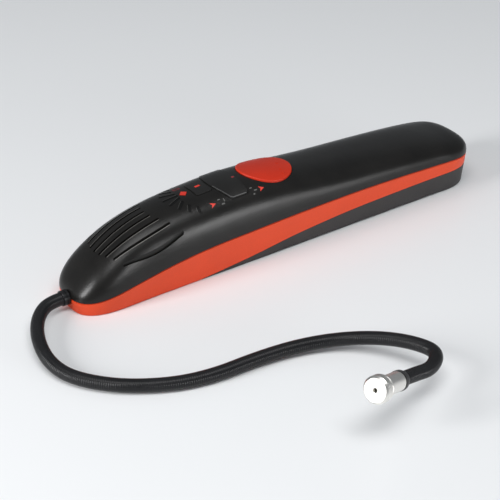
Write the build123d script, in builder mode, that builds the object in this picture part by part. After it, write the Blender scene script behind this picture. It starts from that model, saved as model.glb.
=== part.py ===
from build123d import *
from math import acos, asin, cos, degrees, radians, sin, tan
import os

os.makedirs("parts", exist_ok=True)

# The detector lies on its flat underside. X runs along the casing from the nose to the tail, Y across
# it, Z up. The origin is on the underside, in the middle of the length. A station is a distance along
# the casing, measured from the tip of the nose.

# Casing outline, seen from above: half-widths at the nose, at the waist and at the tail, and how far
# back and how fully each end is rounded
casing_length = 280.0
nose_half_width = 20.5
waist_half_width = 23.3
tail_half_width = 24.3
nose_round_length = 27.3
nose_fullness = 2.95
tail_round_length = 25.3
tail_fullness = 2.7

# Casing seen from the side: shares of the length and heights of the ridge, of the parting line between
# the black cover and the orange shell, and of the lower edge of the orange band
ridge_line = [(0, 12.3), (0.06, 28.2), (0.18, 43.6), (0.38, 47.3), (0.62, 40.8), (0.86, 35.0), (1, 29.2)]
parting_line = [(0, 7.5), (0.3, 21.1), (0.65, 23.9), (1, 20.9)]
band_line = [(0.27, 0.5), (0.32, 1.9), (0.37, 3.3), (0.44, 5.9), (0.5, 8.3), (0.65, 11.7), (0.82, 13.1), (1, 13.6)]
arch_handle = 0.709
side_draft = 8.5
foot_corner = 1.2
foot_trim = 0.15
nose_foot_round = 2.0
tail_foot_round = 4.0
nose_crown_round = 4.0
tail_crown_round = 10.0

# Walls, gaps and the rebate that darkens the parting line
wall = 2.2
rebate_depth = 0.5
rebate_height = 0.7
band_gap = 0.15
piece_gap = 0.35
cover_hem = 0.5
overrun = 3.0
tallest = 80.0
grip_floor_station = 90.0
grip_floor_half_width = 17.0
upward = (Align.CENTER, Align.CENTER, Align.MIN)
forward = (Align.MIN, Align.CENTER, Align.MIN)

# Sounder grille: grooves that spread and bow outwards, cut through only over the round sounder opening
groove_count = 9
groove_width = 1.3
groove_depth = 1.3
groove_narrowing = 0.3
groove_nose_station = 18.5
groove_tail_station = 50.5
groove_nose_spread = 18.2
groove_tail_spread = 19.6
groove_nose_sweep = 7.5
groove_tail_sweep = 13.0
groove_bow = 1.1
sounder_station = 36.0
sounder_opening_radius = 12.0

# Fan of light bars
bar_count = 9
bar_step = 20.0
bar_width = 1.5
fan_station = 80.0
fan_outer_radius = 16.6
fan_inner_radius = 6.4
fan_side_radius = 13.4
bar_recess = 0.2
light_clearance = 0.12
light_plate_thickness = 1.2

# Status light between the fan and the keys
status_station = 77.0
status_width = 3.4

# Keys
key_rise = 0.4
key_corner = 1.6
power_key_nose = 82.0
power_key_width = 13.0
mode_key_nose = 93.2
mode_key_tail = 110.5
mode_key_width = 32.0
mode_key_bow = 26.0
key_land = 1.6
oval_station = 132.5
oval_half_length = 16.9
oval_half_width = 14.8
oval_rise = 1.0
oval_round = 0.7
key_travel = 0.8
oval_travel = 1.2
key_lip = 1.4
key_lip_thickness = 1.2
stem_radius = 1.7
stem_length = 6.5
power_key_lip_length = 6.0
mode_key_lip_length = 9.0
mode_key_lip_shift = 3.0
light_plate_margin = 1.1
light_plate_setback = 1.4

# Circuit board, switches and lights
board_nose_station = 63.0
board_tail_station = 165.0
board_half_width = 11.0
board_height = 31.0
board_thickness = 1.6
board_corner = 1.5
post_radius = 1.8
post_inset = 2.4
post_side = 9.0
board_screw_radius = 0.9
board_screw_bite = 3.5
board_screw_head_radius = 1.9
board_screw_head_height = 1.3
switch_size = 6.0
switch_height = 3.4
plunger_radius = 1.6
plunger_height = 0.9
lamp_radius = 1.2
lamp_height = 4.0
lamp_ring_radius = 8.6

# Case screws: front pair in the orange shell, rear pair in the grip
screw_front_station = 57.0
screw_rear_station = 155.0
screw_front_side = 12.6
screw_rear_side = 14.8
boss_radius = 3.3
boss_foot_radius = 4.1
boss_trim = 0.9
boss_gap = 0.1
shank_radius = 1.2
shank_clearance = 0.3
head_radius = 2.7
head_height = 1.8
head_pocket_depth = 3.0
screw_bite = 9.0
screw_slack = 0.02
screw_slot_width = 0.9

# Grip: finger waves across the underside
wave_pitch = 27.2
wave_count = 5
wave_first_station = 136.5
wave_depth = 0.9
wave_length = 24.0

# Battery door, its rails, the cells and their contacts
door_nose_station = 164.0
door_half_width = 15.2
door_thickness = 2.8
door_gap = 0.3
tongue_reach = 1.4
tongue_thickness = 1.0
rail_width = 4.4
rail_end_station = 252.0
rail_height = 4.8
rail_lead = 2.4
door_travel = 40.0
thumb_rib_count = 5
thumb_rib_pitch = 2.6
thumb_rib_width = 1.2
thumb_rib_depth = 0.5
thumb_rib_length = 16.0
thumb_rib_station = 254.0
cell_radius = 7.1
cell_length = 49.0
cell_tip_radius = 2.7
cell_tip_length = 1.4
cell_side = 7.6
cell_gap = 0.2
cell_lift = 0.5
cell_rim = 0.6
bulkhead_station = 160.0
bulkhead_thickness = 1.8
bulkhead_height = 19.0
contact_size = 11.0
contact_thickness = 0.4
coil_radius = 3.0
coil_wire_radius = 0.4
coil_length = 5.0
coil_turns = 4

# Sounder on its four posts, and the foam ring between it and the cover
sounder_radius = 11.5
sounder_height = 7.0
sounder_top = 27.0
sounder_rim = 0.8
sounder_port_radius = 2.0
sounder_post_side = 7.0
sounder_post_radius = 1.8
gasket_outer_radius = 13.4
gasket_inner_radius = 10.6

# Pump and its hose
pump_station = 88.0
pump_axis_height = 12.6
pump_head_length = 16.0
pump_head_width = 20.0
pump_head_height = 20.0
pump_head_corner = 2.0
motor_radius = 8.0
motor_length = 24.0
motor_boss_radius = 3.0
motor_boss_length = 1.6
nipple_radius = 1.5
nipple_length = 6.0
hose_radius = 2.3
hose_bore_radius = 1.55
hose_gap = 0.2
hose_bend = 14.0
cradle_thickness = 2.0
cradle_width = 19.0
cradle_gap = 0.1

# Gooseneck, its collar in the nose and the sensor tip
gooseneck_radius = 3.75
exit_height = 7.0
collar_length = 4.0
collar_radius = 4.4
collar_groove_width = 0.8
collar_groove_depth = 0.4
collar_neck_radius = 3.2
collar_clearance = 0.1
collar_bore_radius = 0.9
nut_across_corners_radius = 4.6
nut_length = 3.0
nut_gap = 0.9
barb_length = 5.0
ferrule_radius = 5.3
ferrule_length = 4.5
ferrule_taper = 0.9
neck_groove_radius = 4.5
neck_groove_length = 0.7
neck_radius = 5.1
neck_length = 19.0
thread_radius = 4.0
thread_length = 5.6
cap_radius = 7.2
cap_length = 5.6
cap_shoulder_radius = 6.3
cap_shoulder_length = 2.4
cap_wall = 1.4
cap_gap = 0.3
cap_chamfer = 1.1
cap_travel = 8.0
air_hole_radius = 1.1
sensor_radius = 2.4
sensor_length = 3.0
sensor_seat = 2.6
bend_share = 0.45

# The gooseneck's route as station, distance across and height, chosen by hand: out of the nose, round
# over the floor towards the front, along it, and up into the raised hook that carries the tip
gooseneck_route = [
    (-4.0, 0.0, 7.0),
    (-11.5, 0.0, 7.0),
    (-20.5, -6.0, 6.9),
    (-28.5, -16.5, 6.4),
    (-34.3, -29.5, 5.6),
    (-37.5, -44.0, 4.5),
    (-36.5, -58.5, 3.9),
    (-29.5, -72.5, 3.9),
    (-16.0, -87.0, 3.9),
    (5.0, -99.5, 3.9),
    (26.0, -104.5, 3.9),
    (50.0, -105.0, 4.0),
    (74.0, -109.0, 4.8),
    (94.0, -118.5, 6.6),
    (108.5, -133.0, 9.6),
    (117.5, -149.5, 12.2),
    (121.0, -166.0, 13.6),
    (107.5, -176.5, 14.6),
    (93.5, -178.0, 17.6),
    (82.6, -181.8, 21.4),
]


def at(station):
    """X of a station along the casing."""
    return station - casing_length / 2


def smooth_height(line, share):
    """Height of a side-view line at a share of the casing's length, as a smooth curve."""
    share = min(max(share, line[0][0]), line[-1][0])
    steps = [(b[1] - a[1]) / (b[0] - a[0]) for a, b in zip(line, line[1:])]
    slopes = [steps[0]] + [2 * a * b / (a + b) if a * b > 0 else 0 for a, b in zip(steps, steps[1:])]
    slopes.append(steps[-1])
    index = max(i for i in range(len(steps)) if share >= line[i][0])
    (start, low), (end, high) = line[index], line[index + 1]
    run = end - start
    u = (share - start) / run
    return (
        low * (1 + 2 * u) * (1 - u) ** 2
        + high * u**2 * (3 - 2 * u)
        + slopes[index] * run * u * (1 - u) ** 2
        + slopes[index + 1] * run * u**2 * (u - 1)
    )


def rounding(distance, length, fullness):
    """Share of its full size that a rounded end has at a distance from the tip."""
    left = min(max(1 - distance / length, 0), 1)
    return (1 - left**fullness) ** (1 / fullness)


def half_width(station, inset):
    """Half of the casing's width at a station, at the parting line."""
    widths = [(0, nose_half_width), (0.45, waist_half_width), (1, tail_half_width)]
    from_tail = casing_length - station
    full = smooth_height(widths, station / casing_length) - inset
    nose = rounding(station - inset, nose_round_length - inset, nose_fullness)
    tail = rounding(from_tail - inset, tail_round_length - inset, tail_fullness)
    return full * nose * tail


def parting_height(station):
    return smooth_height(parting_line, station / casing_length)


def crown_height(station, inset):
    """Height of the ridge at a station, let down at both tips."""
    foot = parting_height(station) + cover_hem
    rise = smooth_height(ridge_line, station / casing_length) - inset - foot
    nose = rounding(station - inset, nose_crown_round, 2)
    tail = rounding(casing_length - station - inset, tail_crown_round, 2.2)
    return foot + rise * nose * tail


def floor_height(station, inset):
    """Height of the underside at a station before it is trimmed flat, lifted at both tips."""
    nose = 1 - rounding(station - inset, nose_foot_round, 2)
    tail = 1 - rounding(casing_length - station - inset, tail_foot_round, 2)
    return inset - foot_trim + nose_foot_round * nose + tail_foot_round * tail


def stations(inset):
    """Where the casing's sections stand: by angle round the two ends, evenly between them."""
    angles = [radians(a) for a in (6, 16, 28, 42, 58, 76)]
    nose = [inset + (nose_round_length - inset) * (1 - cos(a) ** (2 / nose_fullness)) for a in angles]
    tail = [inset + (tail_round_length - inset) * (1 - cos(a) ** (2 / tail_fullness)) for a in angles]
    first = nose_round_length * 1.25
    last = casing_length - tail_round_length * 1.15
    middle = [first + (last - first) * step / 9 for step in range(10)]
    return nose + middle + [casing_length - distance for distance in reversed(tail)]


def upper_section(station, inset, drop):
    """Section of the cover at a station: a full arch on an upright hem, which may drop further."""
    side = half_width(station, inset)
    base = parting_height(station) - drop
    foot = parting_height(station) + cover_hem
    crown = crown_height(station, inset)
    rise = arch_handle * (crown - foot)
    with BuildSketch(Plane((at(station), 0, 0), x_dir=(0, 1, 0), z_dir=(1, 0, 0))) as section:
        with BuildLine():
            Bezier((side, foot), (side, foot + rise), (arch_handle * side, crown), (0, crown))
            Bezier((0, crown), (-arch_handle * side, crown), (-side, foot + rise), (-side, foot))
            Polyline((-side, foot), (-side, base), (side, base), (side, foot))
        make_face()
    return section.sketch


def lower_section(station, inset, top):
    """Section of the orange shell and grip at a station: drafted sides on a flat underside."""
    side = half_width(station, inset)
    floor = floor_height(station, inset)
    draft = tan(radians(side_draft))
    height = parting_height(station)
    foot = side - draft * (height - floor)
    corner = min(foot_corner, foot * 0.6)
    head = side + draft * (top - height) if top > height else side - draft * (height - top)
    with BuildSketch(Plane((at(station), 0, 0), x_dir=(0, 1, 0), z_dir=(1, 0, 0))) as section:
        with BuildLine():
            FilletPolyline((head, top), (foot, floor), (-foot, floor), (-head, top), radius=corner)
            Line((-head, top), (head, top))
        make_face()
    return section.sketch


def power_key_outline(grow):
    """Plan of the small key, whose tail edge follows the large key's bowed front."""
    bow_centre = at(mode_key_nose + mode_key_bow)
    tail_radius = mode_key_bow + key_land
    with BuildSketch() as outline:
        with Locations((at(power_key_nose), 0)):
            Rectangle(tail_radius, power_key_width, align=(Align.MIN, Align.CENTER))
        with Locations((bow_centre, 0)):
            Circle(tail_radius, mode=Mode.SUBTRACT)
        fillet(outline.vertices(), key_corner * 0.6)
        offset(amount=grow)
    return outline.sketch


def mode_key_outline(grow):
    """Plan of the large key: bowed towards the nose, straight along the other sides."""
    with BuildSketch() as outline:
        with Locations((at(mode_key_nose + mode_key_bow), 0)):
            Circle(mode_key_bow)
        with Locations((at(mode_key_nose), 0)):
            Rectangle(
                mode_key_tail - mode_key_nose,
                mode_key_width,
                align=(Align.MIN, Align.CENTER),
                mode=Mode.INTERSECT,
            )
        fillet(outline.vertices(), key_corner)
        offset(amount=grow)
    return outline.sketch


def oval_outline(grow):
    """Plan of the oval button, drawn as two halves."""
    length = oval_half_length + grow
    width = oval_half_width + grow
    with BuildSketch() as outline:
        with BuildLine():
            half = EllipticalCenterArc((at(oval_station), 0), length, width, arc_size=180)
            mirror(half, about=Plane.XZ)
        make_face()
    return outline.sketch


def light_bar_outline(grow):
    """Plan of the light bars: radial, long on the axis and short at the sides."""
    with BuildSketch() as outline:
        for index in range(bar_count):
            angle = bar_step * (index - (bar_count - 1) / 2)
            inner = fan_inner_radius + (fan_side_radius - fan_inner_radius) * sin(radians(angle)) ** 2
            length = fan_outer_radius - inner
            turned = Plane((at(fan_station), 0, 0), x_dir=(-cos(radians(angle)), sin(radians(angle)), 0))
            with Locations(turned):
                with Locations((inner + length / 2, 0)):
                    SlotOverall(length + 2 * grow, bar_width + 2 * grow)
    return outline.sketch


def status_outline(grow):
    """Plan of the small diamond window of the status light."""
    with BuildSketch() as outline:
        with Locations((at(status_station), 0)):
            Rectangle(status_width + 2 * grow, status_width + 2 * grow, rotation=45)
    return outline.sketch


def groove_line(side):
    """Centre line of a grille groove; side runs from -1 to 1 across the grille."""
    nose_end = (at(groove_nose_station + groove_nose_sweep * side**2), groove_nose_spread * side)
    tail_end = (at(groove_tail_station + groove_tail_sweep * side**2), groove_tail_spread * side)
    middle = ((nose_end[0] + tail_end[0]) / 2, (nose_end[1] + tail_end[1]) / 2 + groove_bow * side)
    with BuildLine() as line:
        if side:
            ThreePointArc(nose_end, middle, tail_end)
        else:
            Line(nose_end, tail_end)
    return line.edge()


def lifted(shape, height):
    """Copy of a shape at another height."""
    return shape.moved(Location((0, 0, height)))


# Forms that several pieces are cut from: the cover's outside and inside, the lower casing's outside
# with its rebated lip, and its inside
with BuildPart() as cover_form:
    loft(sections=[upper_section(s, 0, 0) for s in stations(0)])

with BuildPart() as cover_hollow:
    loft(sections=[upper_section(s, wall, overrun) for s in stations(wall)])

with BuildPart() as lower_form:
    loft(sections=[lower_section(s, 0, parting_height(s) - rebate_height) for s in stations(0)])
    loft(sections=[lower_section(s, rebate_depth, parting_height(s)) for s in stations(rebate_depth)])
    split(bisect_by=Plane.XY, keep=Keep.TOP)

with BuildPart() as lower_hollow:
    loft(sections=[lower_section(s, wall, parting_height(s) + overrun) for s in stations(wall)])

# Everything that belongs to the grip: what lies under the orange band's lower edge, and the whole
# floor behind the joint across the underside
band_shares = [band_line[0][0] + (1 - band_line[0][0]) * step / 10 for step in range(11)]
band_points = [(at(share * casing_length), smooth_height(band_line, share)) for share in band_shares]
band_end = at(casing_length) + overrun
with BuildPart() as grip_zone:
    with BuildSketch(Plane.XZ):
        with BuildLine():
            band_edge = Spline(*band_points)
            Polyline(
                band_edge @ 1,
                (band_end, band_points[-1][1]),
                (band_end, -overrun),
                (band_points[0][0], -overrun),
                band_edge @ 0,
            )
        make_face()
    extrude(amount=tail_half_width + overrun, both=True)
    with Locations((at(grip_floor_station), 0, 0)):
        Box(casing_length / 4, 2 * grip_floor_half_width, wall + band_gap, align=forward)

# Grooves of the grille: shallow everywhere, through the wall only over the sounder
with BuildPart() as groove_floor:
    loft(sections=[upper_section(s, groove_depth, 0) for s in stations(groove_depth)])
    with Locations((at(sounder_station), 0, 0)):
        Cylinder(sounder_opening_radius, tallest, align=upward, mode=Mode.SUBTRACT)

with BuildPart() as grille_cut:
    with BuildSketch():
        for index in range(groove_count):
            side = 2 * index / (groove_count - 1) - 1
            SlotArc(groove_line(side), groove_width * (1 - groove_narrowing * side**2))
    extrude(amount=tallest)
    add(groove_floor.part, mode=Mode.SUBTRACT)

# Bosses for the case screws and posts for the board, hanging from the inside of the cover
screw_rows = [(screw_front_station, screw_front_side), (screw_rear_station, screw_rear_side)]
screw_places = [(at(station), side * y) for station, y in screw_rows for side in (-1, 1)]
post_stations = (board_nose_station + post_inset, board_tail_station - post_inset)
post_places = [(at(s), y) for s in post_stations for y in (-post_side, post_side)]
board_top = board_height + board_thickness
with BuildPart() as cover_posts:
    with Locations(*screw_places):
        Cylinder(boss_radius, tallest, align=upward)
    with Locations(*[(x, y, board_top) for x, y in post_places]):
        Cylinder(post_radius, tallest, align=upward)
    add(lifted(cover_form.part, -boss_trim), mode=Mode.INTERSECT)

# Upper casing
with BuildPart() as top_cover:
    add(cover_form.part)
    add(cover_hollow.part, mode=Mode.SUBTRACT)
    add(cover_posts.part)
    add(grille_cut.part, mode=Mode.SUBTRACT)
    with BuildSketch():
        add(power_key_outline(piece_gap))
        add(mode_key_outline(piece_gap))
        add(oval_outline(piece_gap))
        add(light_bar_outline(light_clearance))
        add(status_outline(light_clearance))
    extrude(amount=tallest, mode=Mode.SUBTRACT)
    with Locations(*[(x, y, parting_height(x + casing_length / 2)) for x, y in screw_places]):
        Cylinder(shank_radius + screw_slack, 2 * screw_bite, mode=Mode.SUBTRACT)
    with Locations(*[(x, y, board_top) for x, y in post_places]):
        Cylinder(board_screw_radius + screw_slack, 2 * board_screw_bite + 1, mode=Mode.SUBTRACT)
    with Locations(Plane((at(0), 0, exit_height), z_dir=(1, 0, 0))):
        Cylinder(collar_neck_radius + collar_clearance, 4 * wall, mode=Mode.SUBTRACT)

# Orange shell: the nose's underside and the band along the handle
root_height = wall / 2
screw_heights = [parting_height(x + casing_length / 2) - boss_trim - boss_gap for x, y in screw_places]
with BuildPart() as lower_shell:
    add(lower_form.part)
    add(lower_hollow.part, mode=Mode.SUBTRACT)

with BuildPart() as body_shell:
    add(lower_shell.part)
    add(grip_zone.part, mode=Mode.SUBTRACT)
    for (x, y), top in zip(screw_places[:2], screw_heights[:2]):
        with Locations((x, y, root_height)):
            Cylinder(boss_foot_radius, top - root_height, align=upward)
        with Locations((x, y, 0)):
            Cylinder(head_radius + shank_clearance, 2 * head_pocket_depth, mode=Mode.SUBTRACT)
            Cylinder(shank_radius + shank_clearance, tallest, align=upward, mode=Mode.SUBTRACT)
    with Locations((at(sounder_station), 0, root_height)):
        with GridLocations(2 * sounder_post_side, 2 * sounder_post_side, 2, 2):
            Cylinder(sounder_post_radius, sounder_top - sounder_height - root_height, align=upward)
    with Locations(Plane((at(0), 0, exit_height), z_dir=(1, 0, 0))):
        Cylinder(collar_neck_radius + collar_clearance, 4 * wall, mode=Mode.SUBTRACT)

# Finger waves: shallow troughs right across the underside of the handle
wave_radius = (wave_length**2 / 4 + wave_depth**2) / (2 * wave_depth)
with BuildPart() as wave_cut:
    with BuildSketch(Plane.XZ):
        for index in range(wave_count):
            with Locations((at(wave_first_station + index * wave_pitch), wave_depth - wave_radius)):
                Circle(wave_radius)
    extrude(amount=tail_half_width + overrun, both=True)

# Grip: the black underside of the handle, with rails for the battery door, bulkheads at both ends of
# the cells, a cradle for the pump motor, and finger waves across it
cell_bay = at(bulkhead_station) + bulkhead_thickness
cells_start = cell_bay + contact_thickness + coil_length
cell_pitch = cell_length + cell_tip_length + cell_gap
tail_bulkhead = cells_start + 2 * cell_pitch + contact_thickness
motor_start = at(pump_station + pump_head_length / 2)
door_start = at(door_nose_station)
rail_length = at(rail_end_station) - door_start + rail_lead
opening_length = at(casing_length) + overrun - door_start + rail_lead
rail_side = door_half_width + door_gap
with BuildPart() as grip_fittings:
    for side in (-1, 1):
        with Locations((door_start - rail_lead, side * (rail_side + rail_width / 2), root_height)):
            Box(rail_length, rail_width, rail_height - root_height, align=forward)
    with Locations((at(bulkhead_station), 0, 0), (tail_bulkhead, 0, 0)):
        Box(bulkhead_thickness, 2 * tail_half_width, bulkhead_height, align=forward)
    add(lower_form.part, mode=Mode.INTERSECT)
    add(lifted(grip_zone.part, -band_gap), mode=Mode.INTERSECT)

with BuildPart() as grip_shell:
    add(lower_shell.part)
    add(lifted(grip_zone.part, -band_gap), mode=Mode.INTERSECT)
    add(grip_fittings.part)
    with Locations((at(bulkhead_station), 0, root_height), (tail_bulkhead, 0, root_height)):
        Box(bulkhead_thickness, 2 * cell_side + contact_size, bulkhead_height, align=forward)
    with Locations((motor_start + motor_length / 2, 0, root_height)):
        Box(cradle_thickness, cradle_width, pump_axis_height - root_height, align=upward)
    with Locations(Plane((motor_start + motor_length / 2, 0, pump_axis_height), z_dir=(1, 0, 0))):
        Cylinder(motor_radius + cradle_gap, 2 * cradle_thickness, mode=Mode.SUBTRACT)
    for (x, y), top in zip(screw_places[2:], screw_heights[2:]):
        with Locations((x, y, root_height)):
            Cylinder(boss_foot_radius, top - root_height, align=upward)
        with Locations((x, y, 0)):
            Cylinder(head_radius + shank_clearance, 2 * head_pocket_depth, mode=Mode.SUBTRACT)
            Cylinder(shank_radius + shank_clearance, tallest, align=upward, mode=Mode.SUBTRACT)
    with Locations((door_start - door_gap, 0, -overrun)):
        Box(
            opening_length,
            2 * rail_side,
            door_thickness + door_gap + overrun,
            align=forward,
            mode=Mode.SUBTRACT,
        )
    with Locations((door_start - door_gap, 0, door_thickness - tongue_thickness - door_gap)):
        Box(
            opening_length,
            2 * (rail_side + tongue_reach),
            tongue_thickness + 2 * door_gap,
            align=forward,
            mode=Mode.SUBTRACT,
        )
    add(wave_cut.part, mode=Mode.SUBTRACT)

# Battery door: a plate whose side tongues run in the rails, its outside flush with the grip
with BuildPart() as battery_door:
    with Locations((door_start, 0, 0)):
        Box(opening_length, 2 * door_half_width, door_thickness, align=forward)
    with Locations((door_start, 0, door_thickness - tongue_thickness)):
        Box(opening_length, 2 * (door_half_width + tongue_reach), tongue_thickness, align=forward)
    add(lower_form.part, mode=Mode.INTERSECT)
    add(wave_cut.part, mode=Mode.SUBTRACT)
    with Locations((at(thumb_rib_station), 0, 0)):
        with GridLocations(thumb_rib_pitch, 1, thumb_rib_count, 1):
            Box(thumb_rib_width, thumb_rib_length, 2 * thumb_rib_depth, mode=Mode.SUBTRACT)

# Keys: each cap follows the cover a little proud of it, slides in its opening, is held in by lips that
# reach under the cover, and stands over its switch on a stem
switch_top = board_top + switch_height + plunger_height
cap_bottom = lifted(cover_hollow.part, -piece_gap - key_lip_thickness)
lip_form = lifted(cover_hollow.part, -piece_gap)
power_key_station = (power_key_nose + mode_key_nose - key_land) / 2
mode_key_station = (mode_key_nose + mode_key_tail) / 2

with BuildPart() as power_key_lips:
    with Locations((at(power_key_station), 0, 0)):
        Box(power_key_lip_length, power_key_width + 2 * key_lip, tallest, align=upward)
    add(lip_form, mode=Mode.INTERSECT)
    add(cap_bottom, mode=Mode.SUBTRACT)

with BuildPart() as power_key:
    with BuildSketch():
        add(power_key_outline(0))
    extrude(amount=tallest)
    add(lifted(cover_form.part, key_rise), mode=Mode.INTERSECT)
    add(cap_bottom, mode=Mode.SUBTRACT)
    add(power_key_lips.part)
    with Locations((at(power_key_station), 0, switch_top + key_travel + piece_gap)):
        Cylinder(stem_radius, stem_length, align=upward)

with BuildPart() as mode_key_lips:
    with Locations((at(mode_key_station + mode_key_lip_shift), 0, 0)):
        Box(mode_key_lip_length, mode_key_width + 2 * key_lip, tallest, align=upward)
    add(lip_form, mode=Mode.INTERSECT)
    add(cap_bottom, mode=Mode.SUBTRACT)

with BuildPart() as mode_key:
    with BuildSketch():
        add(mode_key_outline(0))
    extrude(amount=tallest)
    add(lifted(cover_form.part, key_rise), mode=Mode.INTERSECT)
    add(cap_bottom, mode=Mode.SUBTRACT)
    add(mode_key_lips.part)
    with Locations((at(mode_key_station), 0, switch_top + key_travel + piece_gap)):
        Cylinder(stem_radius, stem_length, align=upward)

with BuildPart() as oval_lips:
    with BuildSketch():
        add(oval_outline(key_lip))
    extrude(amount=tallest)
    add(lip_form, mode=Mode.INTERSECT)
    add(cap_bottom, mode=Mode.SUBTRACT)

with BuildPart() as oval_button:
    with BuildSketch():
        add(oval_outline(0))
    extrude(amount=tallest)
    add(lifted(cover_form.part, oval_rise), mode=Mode.INTERSECT)
    fillet(oval_button.edges().sort_by(Axis.Z)[-2:], oval_round)
    add(cap_bottom, mode=Mode.SUBTRACT)
    add(oval_lips.part)
    with Locations((at(oval_station), 0, switch_top + oval_travel + piece_gap)):
        Cylinder(stem_radius, stem_length, align=upward)

# Light guide: one clear piece with a bar in each slot, its plate against the inside of the cover
with BuildPart() as light_plate:
    with BuildSketch():
        with Locations((at(fan_station), 0)):
            Circle(fan_outer_radius + light_plate_margin)
            Circle(fan_inner_radius - light_plate_margin, mode=Mode.SUBTRACT)
        with Locations((at(fan_station) - light_plate_setback, 0)):
            Rectangle(casing_length, casing_length, align=(Align.MIN, Align.CENTER), mode=Mode.SUBTRACT)
    extrude(amount=tallest)
    add(lifted(cover_hollow.part, -light_clearance), mode=Mode.INTERSECT)
    add(lifted(cover_hollow.part, -light_clearance - light_plate_thickness), mode=Mode.SUBTRACT)
    with Locations(*[(x, y, 0) for x, y in post_places]):
        Cylinder(post_radius + light_clearance, tallest, align=upward, mode=Mode.SUBTRACT)

with BuildPart() as light_guide:
    with BuildSketch():
        add(light_bar_outline(0))
    extrude(amount=tallest)
    add(lifted(cover_form.part, -bar_recess), mode=Mode.INTERSECT)
    add(lifted(cover_hollow.part, -light_clearance - light_plate_thickness), mode=Mode.SUBTRACT)
    add(light_plate.part)

with BuildPart() as status_lens:
    with BuildSketch():
        add(status_outline(0))
    extrude(amount=tallest)
    add(lifted(cover_form.part, bar_recess), mode=Mode.INTERSECT)
    add(cap_bottom, mode=Mode.SUBTRACT)

# Circuit board with the switches and the lights soldered to it, screwed to the posts of the cover
board_length = board_tail_station - board_nose_station
with BuildPart() as main_board:
    with Locations((at(board_nose_station), 0, board_height)):
        Box(board_length, 2 * board_half_width, board_thickness, align=forward)
    fillet(main_board.edges().filter_by(Axis.Z), board_corner)
    with Locations(*[(x, y, board_height) for x, y in post_places]):
        Cylinder(board_screw_radius + shank_clearance, 4 * board_thickness, mode=Mode.SUBTRACT)

with BuildPart() as board_screws:
    for x, y in post_places:
        with Locations((x, y, board_height - board_screw_head_height)):
            Cylinder(board_screw_head_radius, board_screw_head_height, align=upward)
        with Locations((x, y, board_height)):
            Cylinder(board_screw_radius, board_thickness + board_screw_bite, align=upward)

with BuildPart() as key_switches:
    for station in (power_key_station, mode_key_station, oval_station):
        with Locations((at(station), 0, board_top)):
            Box(switch_size, switch_size, switch_height, align=upward)
        with Locations((at(station), 0, board_top + switch_height)):
            Cylinder(plunger_radius, plunger_height, align=upward)

lamp_angles = [radians(bar_step * (index - (bar_count - 1) / 2)) for index in range(bar_count)]
lamp_places = [
    (at(fan_station) - lamp_ring_radius * cos(angle), lamp_ring_radius * sin(angle)) for angle in lamp_angles
]
with BuildPart() as indicator_lamps:
    for x, y in lamp_places + [(at(status_station), 0)]:
        with Locations((x, y, board_top)):
            Cylinder(lamp_radius, lamp_height - lamp_radius, align=upward)
        with Locations((x, y, board_top + lamp_height - lamp_radius)):
            Sphere(lamp_radius)

# Case screws, from underneath through the bosses into the cover
with BuildPart() as case_screws:
    for (x, y), top in zip(screw_places, screw_heights):
        with Locations((x, y, head_pocket_depth - head_height)):
            Cylinder(head_radius, head_height, align=upward)
        with Locations((x, y, head_pocket_depth)):
            Cylinder(shank_radius, top - head_pocket_depth + screw_bite, align=upward)
        with Locations((x, y, head_pocket_depth - head_height)):
            Box(2 * head_radius * 0.7, screw_slot_width, screw_slot_width, mode=Mode.SUBTRACT)
            Box(screw_slot_width, 2 * head_radius * 0.7, screw_slot_width, mode=Mode.SUBTRACT)

# Sounder and the foam ring that seals it against the cover
with BuildPart() as sounder:
    with Locations((at(sounder_station), 0, sounder_top)):
        Cylinder(sounder_radius, sounder_height, align=(Align.CENTER, Align.CENTER, Align.MAX))
    fillet(sounder.edges().filter_by(GeomType.CIRCLE), sounder_rim)
    with Locations((at(sounder_station), 0, sounder_top)):
        Cylinder(sounder_port_radius, sounder_height, mode=Mode.SUBTRACT)

with BuildPart() as sounder_gasket:
    with Locations((at(sounder_station), 0, sounder_top)):
        Cylinder(gasket_outer_radius, tallest, align=upward)
        Cylinder(gasket_inner_radius, tallest, align=upward, mode=Mode.SUBTRACT)
    add(lifted(cover_hollow.part, -light_clearance), mode=Mode.INTERSECT)

# Sampling pump: a moulded head with its motor behind it and a hose from the probe
with BuildPart() as pump_head:
    with Locations((at(pump_station), 0, pump_axis_height)):
        Box(pump_head_length, pump_head_width, pump_head_height)
    fillet(pump_head.edges().filter_by(Axis.X), pump_head_corner)
    with Locations(Plane((at(pump_station) - pump_head_length / 2, 0, pump_axis_height), z_dir=(-1, 0, 0))):
        Cylinder(nipple_radius, nipple_length, align=upward)

with BuildPart() as pump_motor:
    with BuildSketch(Plane((motor_start, 0, pump_axis_height), z_dir=(1, 0, 0))):
        Circle(motor_radius)
    extrude(amount=motor_length)
    fillet(pump_motor.edges(), sounder_rim)
    with BuildSketch(Plane((motor_start + motor_length, 0, pump_axis_height), z_dir=(1, 0, 0))):
        Circle(motor_boss_radius)
    extrude(amount=motor_boss_length)

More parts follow.
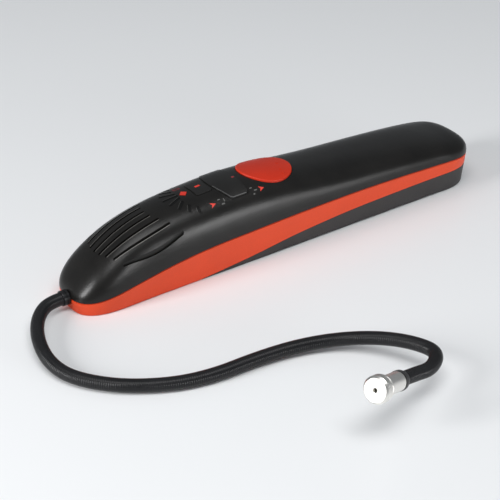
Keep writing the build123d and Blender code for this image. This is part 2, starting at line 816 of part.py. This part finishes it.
# Collar: a turned bush in the nose, with a nut inside and a barb for the hose
collar_front = at(gooseneck_route[0][0])
barb_end = at(wall) + nut_gap + nut_length + barb_length
with BuildPart() as probe_collar:
    with BuildSketch(Plane((collar_front, 0, exit_height), z_dir=(1, 0, 0))):
        Circle(collar_radius)
    extrude(amount=collar_length)
    fillet(probe_collar.edges(), collar_groove_depth)
    with BuildSketch(Plane((collar_front + collar_length / 2, 0, exit_height), z_dir=(1, 0, 0))):
        Circle(collar_radius)
        Circle(collar_radius - collar_groove_depth, mode=Mode.SUBTRACT)
    extrude(amount=collar_groove_width / 2, both=True, mode=Mode.SUBTRACT)
    with BuildSketch(Plane((at(0), 0, exit_height), z_dir=(1, 0, 0))):
        Circle(collar_neck_radius)
    extrude(amount=wall + nut_gap + nut_length)
    with BuildSketch(Plane((at(0), 0, exit_height), z_dir=(1, 0, 0))):
        Circle(nipple_radius)
    extrude(amount=barb_end - at(0))
    with BuildSketch(Plane((collar_front, 0, exit_height), z_dir=(1, 0, 0))):
        Circle(collar_bore_radius)
    extrude(amount=barb_end - collar_front, mode=Mode.SUBTRACT)

with BuildPart() as probe_nut:
    with BuildSketch(Plane((at(wall) + nut_gap, 0, exit_height), z_dir=(1, 0, 0))):
        RegularPolygon(nut_across_corners_radius, 6)
        Circle(collar_neck_radius + screw_slack, mode=Mode.SUBTRACT)
    extrude(amount=nut_length)

hose_start = barb_end - barb_length + hose_gap
hose_end = at(pump_station) - pump_head_length / 2 - hose_gap
hose_points = [
    (hose_start, 0, exit_height),
    (hose_start + (hose_end - hose_start) * 0.35, 0, exit_height),
    (hose_start + (hose_end - hose_start) * 0.65, 0, pump_axis_height),
    (hose_end, 0, pump_axis_height),
]
with BuildPart() as sample_hose:
    with BuildLine():
        FilletPolyline(*hose_points, radius=hose_bend)
    with BuildSketch(Plane(hose_points[0], z_dir=(1, 0, 0))):
        Circle(hose_radius)
        Circle(hose_bore_radius, mode=Mode.SUBTRACT)
    sweep()

# Round cells, two in line on each side, the far row turned round, and the contacts at their ends
cell_height = door_thickness + cell_lift + cell_radius
coil_room = contact_thickness + coil_length
rows = [(-1, cell_bay, (1, 0, 0)), (1, tail_bulkhead, (-1, 0, 0))]
cells = []
for side, row_end, direction in rows:
    for place in range(2):
        row_plane = Plane((row_end, side * cell_side, cell_height), z_dir=direction)
        with BuildPart() as battery_cell:
            with BuildSketch(row_plane.offset(coil_room + place * cell_pitch)):
                Circle(cell_radius)
            extrude(amount=cell_length)
            fillet(battery_cell.edges(), cell_rim)
            with BuildSketch(row_plane.offset(coil_room + place * cell_pitch + cell_length)):
                Circle(cell_tip_radius)
            extrude(amount=cell_tip_length)
        cells.append(battery_cell)

with BuildPart() as coil_contacts:
    for side, row_end, direction in rows:
        row_plane = Plane((row_end, side * cell_side, cell_height), z_dir=direction)
        with BuildSketch(row_plane):
            Rectangle(contact_size, contact_size)
        extrude(amount=contact_thickness)
        coil = Helix(
            coil_length / coil_turns,
            coil_length - 2 * coil_wire_radius,
            coil_radius,
            center=(row_end, side * cell_side, cell_height) + Vector(direction) * contact_thickness,
            direction=direction,
            mode=Mode.PRIVATE,
        )
        with BuildSketch(Plane(coil @ 0, z_dir=coil % 0)):
            Circle(coil_wire_radius)
        sweep(path=coil)

with BuildPart() as plate_contacts:
    for side, row_end, direction in rows:
        far_end = Plane((cell_bay + tail_bulkhead - row_end, side * cell_side, cell_height), z_dir=direction)
        with BuildSketch(far_end):
            Rectangle(contact_size, contact_size)
        extrude(amount=-contact_thickness)

# Gooseneck: a round tube along its route, each corner rounded by as much as its shorter run allows
route = [Vector(at(station), across, height) for station, across, height in gooseneck_route]
runs = [end - start for start, end in zip(route, route[1:])]
bends = [
    bend_share * min(before.length, after.length) / tan(radians(before.get_angle(after)) / 2)
    for before, after in zip(runs, runs[1:])
]
print("gooseneck bend radii", [round(bend, 2) for bend in bends])
with BuildPart() as gooseneck:
    with BuildLine() as gooseneck_line:
        FilletPolyline(*route, radius=bends)
    with BuildSketch(Plane(route[0], z_dir=runs[0])):
        Circle(gooseneck_radius)
    sweep()
print("gooseneck length", round(gooseneck_line.wire().length, 1))

# Sensor tip on the gooseneck's end, in line with its last run: sleeve, neck with a threaded end and a
# socket, sensor, and the screwed cap with its air hole
tip_base = Plane(route[-1], z_dir=runs[-1])
tip_axis = Axis(route[-1], runs[-1])
with BuildPart() as tip_ferrule:
    with BuildSketch(tip_base):
        Circle(ferrule_radius)
    extrude(amount=ferrule_length)
    chamfer(tip_ferrule.faces().sort_by(tip_axis)[0].edges(), ferrule_length / 2, ferrule_taper)

neck_start = ferrule_length + neck_groove_length
thread_end = neck_length + thread_length
with BuildPart() as tip_neck:
    with BuildSketch(tip_base.offset(ferrule_length)):
        Circle(neck_groove_radius)
    extrude(amount=neck_groove_length)
    with BuildSketch(tip_base.offset(neck_start)):
        Circle(neck_radius)
    extrude(amount=neck_length - neck_start)
    with BuildSketch(tip_base.offset(neck_length)):
        Circle(thread_radius)
    extrude(amount=thread_length)
    with BuildSketch(tip_base.offset(thread_end)):
        Circle(sensor_radius)
    extrude(amount=-sensor_seat, mode=Mode.SUBTRACT)

with BuildPart() as sensor_element:
    with BuildSketch(tip_base.offset(thread_end - sensor_seat)):
        Circle(sensor_radius)
    extrude(amount=sensor_length)

cap_start = neck_length + cap_gap
cap_end = cap_start + cap_shoulder_length + cap_length
with BuildPart() as tip_cap:
    with BuildSketch(tip_base.offset(cap_start)):
        Circle(cap_shoulder_radius)
    extrude(amount=cap_shoulder_length)
    with BuildSketch(tip_base.offset(cap_start + cap_shoulder_length)):
        Circle(cap_radius)
    extrude(amount=cap_length)
    chamfer(tip_cap.faces().sort_by(tip_axis)[-1].edges(), cap_chamfer)
    with BuildSketch(tip_base.offset(cap_start)):
        Circle(thread_radius + cap_gap)
    extrude(amount=cap_end - cap_start - cap_wall, mode=Mode.SUBTRACT)
    with BuildSketch(tip_base.offset(cap_end)):
        Circle(air_hole_radius)
    extrude(amount=-2 * cap_wall, mode=Mode.SUBTRACT)

# One named file for each piece
pieces = {
    "top_cover": top_cover,
    "body_shell": body_shell,
    "grip_shell": grip_shell,
    "battery_door": battery_door,
    "power_key": power_key,
    "mode_key": mode_key,
    "oval_button": oval_button,
    "light_guide": light_guide,
    "status_lens": status_lens,
    "main_board": main_board,
    "board_screws": board_screws,
    "key_switches": key_switches,
    "indicator_lamps": indicator_lamps,
    "case_screws": case_screws,
    "sounder": sounder,
    "sounder_gasket": sounder_gasket,
    "pump_head": pump_head,
    "pump_motor": pump_motor,
    "probe_collar": probe_collar,
    "probe_nut": probe_nut,
    "sample_hose": sample_hose,
    "battery_cell_1": cells[0],
    "battery_cell_2": cells[1],
    "battery_cell_3": cells[2],
    "battery_cell_4": cells[3],
    "coil_contacts": coil_contacts,
    "plate_contacts": plate_contacts,
    "gooseneck": gooseneck,
    "tip_ferrule": tip_ferrule,
    "tip_neck": tip_neck,
    "sensor_element": sensor_element,
    "tip_cap": tip_cap,
}
for name, piece in pieces.items():
    piece.part.label = name
    export_step(piece.part, f"parts/{name}.step")
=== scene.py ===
from math import cos, pi, radians, sin

import bmesh
import bpy
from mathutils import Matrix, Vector
from mathutils.bvhtree import BVHTree


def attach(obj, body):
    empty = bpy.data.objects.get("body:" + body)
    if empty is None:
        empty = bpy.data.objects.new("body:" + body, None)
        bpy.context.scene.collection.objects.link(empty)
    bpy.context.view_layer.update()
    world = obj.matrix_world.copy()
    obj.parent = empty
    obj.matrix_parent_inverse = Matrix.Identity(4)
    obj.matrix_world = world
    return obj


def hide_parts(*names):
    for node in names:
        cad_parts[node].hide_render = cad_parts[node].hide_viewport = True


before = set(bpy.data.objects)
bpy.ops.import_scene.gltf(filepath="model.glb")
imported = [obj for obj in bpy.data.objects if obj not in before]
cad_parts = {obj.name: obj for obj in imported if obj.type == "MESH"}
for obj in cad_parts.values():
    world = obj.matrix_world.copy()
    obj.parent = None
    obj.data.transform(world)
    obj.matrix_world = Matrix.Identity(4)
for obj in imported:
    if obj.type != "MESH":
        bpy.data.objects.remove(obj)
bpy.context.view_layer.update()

# The camera stands where the photographer stood: a metre away, in front of the nose and to its left,
# and looks down on the detector through a long lens.
photo_camera = bpy.data.objects.new("photo_camera", bpy.data.cameras.new("photo_camera"))
bpy.context.collection.objects.link(photo_camera)
photo_camera.location = (-0.50124, -0.66687, 0.48107)
aim_point = Vector((-0.01774, -0.00101, -0.00553))
photo_camera.rotation_euler = (aim_point - photo_camera.location).to_track_quat("-Z", "Y").to_euler()
photo_camera.data.lens = 117.5
photo_camera.data.sensor_width = 36.0
photo_camera.data.clip_start = 0.05
bpy.context.scene.camera = photo_camera

# The gooseneck is a bendable steel-cored tube with a glossy black ringed sleeve. It leaves the nose,
# turns round over the bench and rises into the hook that holds the sensor tip up.
gooseneck_route = [
    (-0.1440, 0.0000, 0.0070), (-0.1515, 0.0000, 0.0070), (-0.1605, -0.0060, 0.0069),
    (-0.1685, -0.0165, 0.0064), (-0.1743, -0.0295, 0.0056), (-0.1775, -0.0440, 0.0045),
    (-0.1765, -0.0585, 0.0039), (-0.1695, -0.0725, 0.0039), (-0.1560, -0.0870, 0.0039),
    (-0.1350, -0.0995, 0.0039), (-0.1140, -0.1045, 0.0039), (-0.0900, -0.1050, 0.0040),
    (-0.0660, -0.1090, 0.0048), (-0.0460, -0.1185, 0.0066), (-0.0315, -0.1330, 0.0096),
    (-0.0225, -0.1495, 0.0122), (-0.0190, -0.1660, 0.0136), (-0.0325, -0.1765, 0.0146),
    (-0.0465, -0.1780, 0.0176), (-0.0574, -0.1818, 0.0214),
]
gooseneck_radius = 0.00375
ring_pitch = 0.00115
ring_groove = 0.00022
sleeve_sides = 24
route_resolution = 24
last_place = 0.999999


def centre_line(route):
    """Points of the smooth line that the route's control points pull, evenly close together."""
    curve = bpy.data.curves.new("route", "CURVE")
    curve.dimensions = "3D"
    curve.resolution_u = route_resolution
    spline = curve.splines.new("NURBS")
    spline.points.add(len(route) - 1)
    for point, place in zip(spline.points, route):
        point.co = (*place, 1)
    spline.order_u = 3
    spline.use_endpoint_u = True
    carrier = bpy.data.objects.new("route", curve)
    bpy.context.collection.objects.link(carrier)
    bpy.context.view_layer.update()
    depsgraph = bpy.context.evaluated_depsgraph_get()
    line = bpy.data.meshes.new_from_object(carrier.evaluated_get(depsgraph))
    points = [vertex.co.copy() for vertex in line.vertices]
    bpy.data.objects.remove(carrier)
    bpy.data.meshes.remove(line)
    return points


def along(points, distance):
    """Place and direction at a distance along a line of points."""
    for start, end in zip(points, points[1:]):
        step = (end - start).length
        if distance <= step:
            return start + (end - start) * (distance / step), (end - start).normalized()
        distance -= step
    return points[-1].copy(), (points[-1] - points[-2]).normalized()


def ringed_tube(name, points, profile, pitch, around):
    """A tube whose radius repeats the profile, pairs of share and radius, once each pitch."""
    length = sum((b - a).length for a, b in zip(points, points[1:]))
    rings = round(length / pitch)
    mesh = bmesh.new()
    side = Vector((0, 0, 1))
    rows = []
    for index in range(rings + 1):
        for share, radius in profile if index < rings else [(0, profile[0][1])]:
            place, forward = along(points, min((index + share) * length / rings, length * last_place))
            side = (side - forward * side.dot(forward)).normalized()
            across = forward.cross(side)
            rows.append([
                mesh.verts.new(place + radius * (cos(turn) * side + sin(turn) * across))
                for turn in (2 * pi * step / around for step in range(around))
            ])
    for one, two in zip(rows, rows[1:]):
        for step in range(around):
            after = (step + 1) % around
            mesh.faces.new((one[step], one[after], two[after], two[step])).smooth = True
    mesh.faces.new(list(reversed(rows[0])))
    mesh.faces.new(rows[-1])
    return mesh_piece(name, mesh)


def mesh_piece(name, mesh):
    """An object of that name from an edited mesh."""
    data = bpy.data.meshes.new(name)
    mesh.to_mesh(data)
    mesh.free()
    piece = bpy.data.objects.new(name, data)
    bpy.context.collection.objects.link(piece)
    return piece


fine_detail = 2.0
broad_scale = 60
broad_detail = 3.0
tint_from = (0.1, 0.4)


def finish_material(name, colour, roughness, grain=None, **values):
    """A moulded or metal finish. Grain holds its size and bump depth in metres, how much it shades the
    colour, and how far the roughness varies; other values go straight to the shader's sockets."""
    material = bpy.data.materials.new(name)
    material.use_nodes = True
    nodes, links = material.node_tree.nodes, material.node_tree.links
    shader = nodes["Principled BSDF"]
    shader.inputs["Base Color"].default_value = (*colour, 1)
    shader.inputs["Roughness"].default_value = roughness
    for socket, value in values.items():
        shader.inputs[socket.replace("_", " ").title().replace("Ior", "IOR")].default_value = value
    if grain:
        size, depth, shading, rough_spread = grain
        place = nodes.new("ShaderNodeTexCoord")
        fine = nodes.new("ShaderNodeTexNoise")
        fine.inputs["Scale"].default_value = 1 / size
        fine.inputs["Detail"].default_value = fine_detail
        links.new(place.outputs["Object"], fine.inputs["Vector"])
        bump = nodes.new("ShaderNodeBump")
        bump.inputs["Strength"].default_value = 1.0
        bump.inputs["Distance"].default_value = depth
        links.new(fine.outputs["Fac"], bump.inputs["Height"])
        links.new(bump.outputs["Normal"], shader.inputs["Normal"])
        broad = nodes.new("ShaderNodeTexNoise")
        broad.inputs["Scale"].default_value = broad_scale
        broad.inputs["Detail"].default_value = broad_detail
        links.new(place.outputs["Object"], broad.inputs["Vector"])
        both = nodes.new("ShaderNodeMath")
        both.operation = "MULTIPLY"
        links.new(fine.outputs["Fac"], both.inputs[0])
        links.new(broad.outputs["Fac"], both.inputs[1])
        tint = nodes.new("ShaderNodeMapRange")
        tint.inputs["From Min"].default_value, tint.inputs["From Max"].default_value = tint_from
        tint.inputs["To Min"].default_value = 1 - shading
        tint.inputs["To Max"].default_value = 1 + shading
        links.new(both.outputs["Value"], tint.inputs["Value"])
        colours = nodes.new("ShaderNodeVectorMath")
        colours.operation = "SCALE"
        colours.inputs[0].default_value = colour
        links.new(tint.outputs["Result"], colours.inputs["Scale"])
        links.new(colours.outputs["Vector"], shader.inputs["Base Color"])
        rough = nodes.new("ShaderNodeMapRange")
        rough.inputs["To Min"].default_value = roughness - rough_spread
        rough.inputs["To Max"].default_value = roughness + rough_spread
        links.new(broad.outputs["Fac"], rough.inputs["Value"])
        links.new(rough.outputs["Result"], shader.inputs["Roughness"])
    return material


def dress(node, material):
    """Gives a CAD node its material."""
    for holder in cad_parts[node].material_slots:
        holder.material = material


gooseneck_points = centre_line(gooseneck_route)
ring_shoulder = gooseneck_radius - 0.3 * ring_groove
ring_profile = [(0, gooseneck_radius - ring_groove), (0.16, ring_shoulder), (0.5, gooseneck_radius),
                (0.84, ring_shoulder)]
gooseneck = ringed_tube("gooseneck_sleeve", gooseneck_points, ring_profile, ring_pitch, sleeve_sides)
sleeve_black = finish_material("sleeve_black", (0.012, 0.012, 0.013), 0.24, (0.0006, 0.00001, 0.2, 0.05),
                               specular_ior_level=0.2)
gooseneck.data.materials.append(sleeve_black)
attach(gooseneck, "casing")
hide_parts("gooseneck")

# The top cover is one black moulding with a fine spark-eroded grain, dull on top and a little shiny
# along the shoulders where hands rub it.
cover_black = finish_material("cover_black", (0.0070, 0.0064, 0.0058), 0.3, (0.00045, 0.00005, 0.35, 0.05),
                              specular_ior_level=0.33)
dress("top_cover", cover_black)

# The orange shell makes the nose and the band along the handle. It is a satin moulding with hardly any
# grain, and the cover is screwed down on it.
shell_orange = finish_material("shell_orange", (0.68, 0.060, 0.014), 0.45, (0.0007, 0.00002, 0.05, 0.04),
                               specular_ior_level=0.3)
dress("body_shell", shell_orange)

# The grip and the battery door are the softer, greyer black mouldings under the handle. The door slides
# in rails of the grip.
grip_black = finish_material("grip_black", (0.026, 0.024, 0.024), 0.5, (0.0005, 0.00006, 0.25, 0.05),
                             specular_ior_level=0.4)
dress("grip_shell", grip_black)
dress("battery_door", grip_black)

# The two black keys are smoother mouldings than the cover that they stand in, and lips hold them under
# its wall.
key_black = finish_material("key_black", (0.010, 0.0095, 0.009), 0.36, (0.0006, 0.00002, 0.25, 0.04),
                            specular_ior_level=0.35)
dress("power_key", key_black)
dress("mode_key", key_black)

# The oval button is a deep orange moulding that stands a little proud of the cover, and is held by lips
# under its wall as the keys are.
oval_orange = finish_material("oval_orange", (0.50, 0.026, 0.008), 0.42, (0.0007, 0.00002, 0.06, 0.04),
                              specular_ior_level=0.25)
dress("oval_button", oval_orange)

# The sensor tip is nickel-plated turned brass: a neck, and a screwed cap with a knurled band, a
# chamfered rim and one small air hole in its face.
tip_origin = Vector((-0.0574, -0.1818, 0.0214))
tip_axis = Vector((-0.0109, -0.0038, 0.0038)).normalized()
knurl_start, knurl_end, knurl_rows = 0.0221, 0.0260, 20
knurl_radius, knurl_depth, knurl_count, knurl_lead = 0.0072, 0.00026, 32, 0.0015


def knurl(turn, distance):
    """Radius of the knurled band, two crossed sets of grooves that leave small pyramids."""
    turns = knurl_count * turn / (2 * pi)
    ridges = [abs((turns + way * distance / knurl_lead) % 1 - 0.5) * 2 for way in (-1, 1)]
    return knurl_radius - knurl_depth * (1 - min(ridges))


def turned_piece(name, profile, around):
    """A closed turned piece on the tip's axis; each profile row is a distance and a radius."""
    side = Vector((0, 0, 1))
    side = (side - tip_axis * side.dot(tip_axis)).normalized()
    across = tip_axis.cross(side)
    mesh = bmesh.new()
    rows = []
    for distance, radius in profile:
        row = []
        for step in range(around):
            turn = 2 * pi * step / around
            size = radius(turn, distance) if callable(radius) else radius
            row.append(mesh.verts.new(
                tip_origin + tip_axis * distance + size * (cos(turn) * side + sin(turn) * across)
            ))
        rows.append(row)
    for one, two in zip(rows, rows[1:] + rows[:1]):
        for step in range(around):
            after = (step + 1) % around
            mesh.faces.new((one[step], one[after], two[after], two[step])).smooth = True
    bmesh.ops.recalc_face_normals(mesh, faces=mesh.faces)
    piece = mesh_piece(name, mesh)
    piece.data.shade_smooth()
    piece.data.set_sharp_from_angle(angle=radians(28))
    return piece


knurl_steps = [knurl_start + (knurl_end - knurl_start) * row / knurl_rows for row in range(knurl_rows + 1)]
cap_profile = [
    (0.0193, 0.0043), (0.0193, 0.0061), (0.0195, 0.0063), (0.0214, 0.0063), (0.0217, 0.00655),
    (0.0218, 0.0069), (0.0220, 0.0071), *[(distance, knurl) for distance in knurl_steps],
    (0.0262, 0.0071), (0.02715, 0.00620), (0.0273, 0.00595), (0.0273, 0.00145), (0.02705, 0.0011),
    (0.0259, 0.0011), (0.0259, 0.0043),
]
knurled_cap = turned_piece("knurled_cap", cap_profile, 6 * knurl_count)
nickel = finish_material("nickel", (0.86, 0.84, 0.80), 0.28, (0.0004, 0.000006, 0.03, 0.05), metallic=1.0)
knurled_cap.data.materials.append(nickel)
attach(knurled_cap, "tip_cap_body")
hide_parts("tip_cap")
dress("tip_neck", nickel)

# The collar in the nose is black like the tube. The sleeve that closes the tube's far end is a plain
# moulding, a little duller, and the sensor sits under the cap behind a fine mesh.
dress("probe_collar", sleeve_black)
ferrule_black = finish_material("ferrule_black", (0.02, 0.02, 0.021), 0.4, (0.0005, 0.00002, 0.2, 0.05))
dress("tip_ferrule", ferrule_black)
sensor_mesh = finish_material("sensor_mesh", (0.5, 0.48, 0.42), 0.4, (0.0003, 0.00005, 0.3, 0.1),
                              metallic=1.0)
dress("sensor_element", sensor_mesh)

# The light guide is smoke-dark while its lamps are off, and fills the fan of slots from underneath.
# The window of the status light is clear red.
guide_clear = finish_material("guide_clear", (0.005, 0.005, 0.005), 0.45, (0.0008, 0.00001, 0.1, 0.04),
                              specular_ior_level=0.15)
dress("light_guide", guide_clear)
status_red = finish_material("status_red", (0.55, 0.028, 0.015), 0.25, (0.0008, 0.00001, 0.1, 0.04))
dress("status_lens", status_red)

# Screws, contacts, nut and the motor's can are zinc-plated steel, seen only with the door off or from
# underneath.
zinc_steel = finish_material("zinc_steel", (0.55, 0.55, 0.56), 0.3, (0.0004, 0.00001, 0.08, 0.08),
                             metallic=1.0)
for node in ("board_screws", "case_screws", "coil_contacts", "plate_contacts", "probe_nut", "pump_motor"):
    dress(node, zinc_steel)

# The circuit board hangs on posts of the cover, under green solder mask, with black switches, red
# lamps, and the black sounder with its foam ring near it.
board_green = finish_material("board_green", (0.015, 0.12, 0.05), 0.35, (0.002, 0.00001, 0.25, 0.05))
dress("main_board", board_green)
part_black = finish_material("part_black", (0.03, 0.03, 0.03), 0.5, (0.0005, 0.00002, 0.2, 0.05))
for node in ("key_switches", "sounder", "sounder_gasket"):
    dress(node, part_black)
lamp_red = finish_material("lamp_red", (0.6, 0.06, 0.04), 0.15, (0.0008, 0.00001, 0.1, 0.04))
dress("indicator_lamps", lamp_red)

# The pump's head is a natural white moulding fed by a grey hose, and the cells wear plain sleeves in the
# bay of the grip.
pump_white = finish_material("pump_white", (0.6, 0.6, 0.57), 0.5, (0.0006, 0.00002, 0.1, 0.05))
dress("pump_head", pump_white)
hose_grey = finish_material("hose_grey", (0.4, 0.4, 0.39), 0.35, (0.0006, 0.00002, 0.1, 0.05))
dress("sample_hose", hose_grey)
cell_sleeve = finish_material("cell_sleeve", (0.10, 0.11, 0.13), 0.3, (0.0008, 0.00001, 0.1, 0.05))
for number in (1, 2, 3, 4):
    dress(f"battery_cell_{number}", cell_sleeve)


# Small printed marks beside the keys: red arrowheads and grey symbols, thin ink on the moulding. Their
# places are given as station from the tip of the nose and distance across, in millimetres.
casing_half = 140
millimetres = 1000
mark_thickness = 0.00012
ray_height = 0.08
mark_cuts = 3


def surface_finder(node):
    """Finds heights on a CAD node's outside."""
    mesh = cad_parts[node].data
    return BVHTree.FromPolygons([v.co for v in mesh.vertices], [p.vertices for p in mesh.polygons])


def surface_mark(name, corners, node, body, material, thickness=mark_thickness):
    """A thin filled shape laid on the node's top, with its corners as places."""
    finder = surface_finder(node)
    mesh = bmesh.new()
    mesh.faces.new([
        mesh.verts.new(((station - casing_half) / millimetres, across / millimetres, 0))
        for station, across in corners
    ])
    bmesh.ops.triangulate(mesh, faces=mesh.faces)
    bmesh.ops.subdivide_edges(mesh, edges=mesh.edges, cuts=mark_cuts, use_grid_fill=True)
    for vertex in mesh.verts:
        hit = finder.ray_cast(Vector((vertex.co.x, vertex.co.y, ray_height)), Vector((0, 0, -1)))[0]
        vertex.co.z = hit.z + thickness / 2
    shape = bmesh.ops.extrude_face_region(mesh, geom=mesh.faces[:])["geom"]
    for item in shape:
        if isinstance(item, bmesh.types.BMVert):
            item.co.z -= thickness
    bmesh.ops.recalc_face_normals(mesh, faces=mesh.faces)
    mark = mesh_piece(name, mesh)
    mark.data.materials.append(material)
    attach(mark, body)


def strip(name, number, start, end, width, node, body, material):
    """A thin straight line of ink or of painted highlight between two places on the node's top."""
    along_x, along_y = end[0] - start[0], end[1] - start[1]
    length = (along_x**2 + along_y**2) ** 0.5
    aside = (-along_y / length * width / 2, along_x / length * width / 2)
    corners = [(start[0] + aside[0], start[1] + aside[1]), (end[0] + aside[0], end[1] + aside[1]),
               (end[0] - aside[0], end[1] - aside[1]), (start[0] - aside[0], start[1] - aside[1])]
    surface_mark(f"{name}_{number}", corners, node, body, material)


ink_red = finish_material("ink_red", (0.62, 0.035, 0.02), 0.5, (0.0006, 0.00001, 0.15, 0.04))
ink_pink = finish_material("ink_pink", (0.22, 0.025, 0.03), 0.5, (0.0006, 0.00001, 0.15, 0.04))
ink_grey = finish_material("ink_grey", (0.10, 0.10, 0.095), 0.5, (0.0006, 0.00001, 0.15, 0.04))
arrowhead = [(-1.7, 1.3), (1.7, 0), (-1.7, -1.3), (-0.8, 0)]
for number, (station, across) in enumerate([(86.8, -15.3), (119.6, -15.7)], 1):
    corners = [(station + x, across + y) for x, y in arrowhead]
    surface_mark(f"red_arrowhead_{number}", corners, "top_cover", "casing", ink_red)
surface_mark("power_key_mark", [(85.6, 0.4), (88.8, 0.4), (88.8, 1.9), (85.6, 1.9)], "power_key",
             "power_key_body", ink_red)
grey_marks = [
    (91.2, -14.0, 1.6, 0.5), (92.7, -16.6, 2.0, 0.5), (94.2, -15.0, 0.5, 1.6),
    (113.2, -14.0, 1.6, 0.5), (115.4, -15.7, 2.0, 0.5), (113.5, -17.3, 1.2, 0.5),
]
square = [(-1, -1), (1, -1), (1, 1), (-1, 1)]
for number, (station, across, length, width) in enumerate(grey_marks, 1):
    corners = [(station + x * length / 2, across + y * width / 2) for x, y in square]
    surface_mark(f"grey_mark_{number}", corners, "top_cover", "casing", ink_grey)

surface_mark("small_red_mark", [(108.2, -3.1), (110.0, -2.8), (110.0, -1.5), (108.2, -1.8)], "mode_key",
             "mode_key_body", ink_pink)
outline_width = 0.35
outline_mark = [(75.2, 6.2), (78.8, 6.2), (78.8, 8.4), (75.2, 8.4)]
for number, (start, end) in enumerate(zip(outline_mark, outline_mark[1:] + outline_mark[:1]), 1):
    strip("pink_outline", number, start, end, outline_width, "top_cover", "casing", ink_pink)

# The moulded edges of the grille's grooves and of the light slots catch the light as thin pale lines.
# Each is a painted highlight: a thin pale strip laid on the cover, beside the groove or slot that it
# follows.
painted_edge_highlight = finish_material("painted_edge_highlight", (0.13, 0.125, 0.115), 0.4, (0.0006, 0.00001, 0.15, 0.04))
edge_clearance, edge_width, edge_steps = 0.08, 0.2, 12
nose_station, nose_sweep, nose_spread = 18.5, 7.5, 18.2
tail_station, tail_sweep, tail_spread = 50.5, 13.0, 19.6
groove_bow, groove_half_width, groove_narrowing = 1.1, 0.65, 0.3
for index in range(1, 8):
    side = index / 4 - 1
    nose_end = Vector((nose_station + nose_sweep * side**2, nose_spread * side))
    tail_end = Vector((tail_station + tail_sweep * side**2, tail_spread * side))
    middle = (nose_end + tail_end) / 2 + Vector((0, groove_bow * side))
    inner_row, outer_row = [], []
    for step in range(edge_steps + 1):
        t = step / edge_steps
        place = (1 - t) * (1 - 2 * t) * nose_end + 4 * t * (1 - t) * middle + t * (2 * t - 1) * tail_end
        run = ((4 * t - 3) * nose_end + (4 - 8 * t) * middle + (4 * t - 1) * tail_end).normalized()
        aside = Vector((-run.y, run.x)) * (1 if side > 0 else -1)
        inner = groove_half_width * (1 - groove_narrowing * side**2) + edge_clearance
        inner_row.append(place + aside * inner)
        outer_row.append(place + aside * (inner + edge_width))
    corners = [tuple(place) for place in inner_row + outer_row[::-1]]
    surface_mark(f"groove_edge_highlight_{index}", corners, "top_cover", "casing", painted_edge_highlight)

# The pale strips along the light slots are painted highlights on their edges.
painted_slot_highlight = finish_material("painted_slot_highlight", (0.055, 0.055, 0.052), 0.4, (0.0006, 0.00001, 0.15, 0.04))
fan_centre, fan_step, slot_aside = Vector((80, 0)), 20, 1.05
slot_inner, slot_shortening, slot_lead, slot_reach = 6.4, 7.0, 0.6, 16.0
for index in range(9):
    angle = radians(fan_step * (index - 4))
    outward = Vector((-cos(angle), sin(angle)))
    aside = Vector((outward.y, -outward.x)) * slot_aside
    inner = slot_inner + slot_shortening * sin(angle) ** 2
    start, end = (fan_centre + aside + outward * reach for reach in (inner + slot_lead, slot_reach))
    strip("slot_edge_highlight", index + 1, start, end, edge_width, "top_cover", "casing", painted_slot_highlight)

# The large key's moulded edge catches the light along its front and near side. A thin pale strip laid on
# the key is a painted highlight for it, and travels with the key.
painted_key_highlight = finish_material("painted_key_highlight", (0.10, 0.10, 0.10), 0.35, (0.0006, 0.00001, 0.15, 0.04))
highlight_width = 0.3
highlight_line = [(93.9, -4.0), (95.1, -8.4), (97.0, -12.4), (98.6, -14.9), (100.1, -15.7), (103.5, -15.7),
             (108.9, -15.7)]
for number, (start, end) in enumerate(zip(highlight_line, highlight_line[1:]), 1):
    strip("painted_key_highlight", number, start, end, highlight_width, "mode_key", "mode_key_body", painted_key_highlight)

# Three raised dots are moulded on the oval button, in its own colour, so that a thumb finds it without
# looking.
dot_radius, dot_thickness = 0.8, 0.0004
dot_turns = [pi * step / 6 for step in range(12)]
for number, (station, across) in enumerate([(142.0, 0.0), (139.6, -7.0), (138.2, -10.8)], 1):
    corners = [(station + dot_radius * cos(turn), across + dot_radius * sin(turn)) for turn in dot_turns]
    surface_mark(f"oval_dot_{number}", corners, "oval_button", "oval_button_body", oval_orange,
                 dot_thickness)

# The bench is a pale seamless sheet. A large light hangs over the near side, so that it gets darker
# towards the back, and two more stand at the left and low in front.
bench_size, bench_drop = 4, 0.0001
bench_mesh = bmesh.new()
bmesh.ops.create_grid(bench_mesh, x_segments=1, y_segments=1, size=bench_size)
bench = mesh_piece("bench", bench_mesh)
bench.location = (0, 0, -bench_drop)
bench_white = finish_material("bench_white", (0.80, 0.81, 0.82), 0.35)
bench.data.materials.append(bench_white)


def softbox(name, place, target, size, power):
    """A rectangular studio light, with its two sides as size, that faces its target."""
    lamp = bpy.data.lights.new(name, "AREA")
    lamp.shape = "RECTANGLE"
    lamp.size, lamp.size_y = size
    lamp.energy = power
    holder = bpy.data.objects.new(name, lamp)
    bpy.context.collection.objects.link(holder)
    holder.location = place
    holder.rotation_euler = (Vector(target) - Vector(place)).to_track_quat("-Z", "Y").to_euler()


softbox("overhead_light", (-0.25, -0.55, 1.55), (0, 0.1, 0), (1.5, 0.8), 17.3)
softbox("left_light", (-1.3, 0.1, 0.45), (-0.05, -0.05, 0.05), (0.32, 0.75), 16)
softbox("front_light", (0.42, -1.35, 0.16), (-0.05, 0, 0.02), (0.8, 0.26), 8)

world_colour, world_strength = (0.9, 0.95, 1, 1), 0.25
world = bpy.data.worlds.new("studio")
bpy.context.scene.world = world
world.use_nodes = True
world.node_tree.nodes["Background"].inputs["Color"].default_value = world_colour
world.node_tree.nodes["Background"].inputs["Strength"].default_value = world_strength

bpy.context.scene.view_settings.view_transform = "Standard"
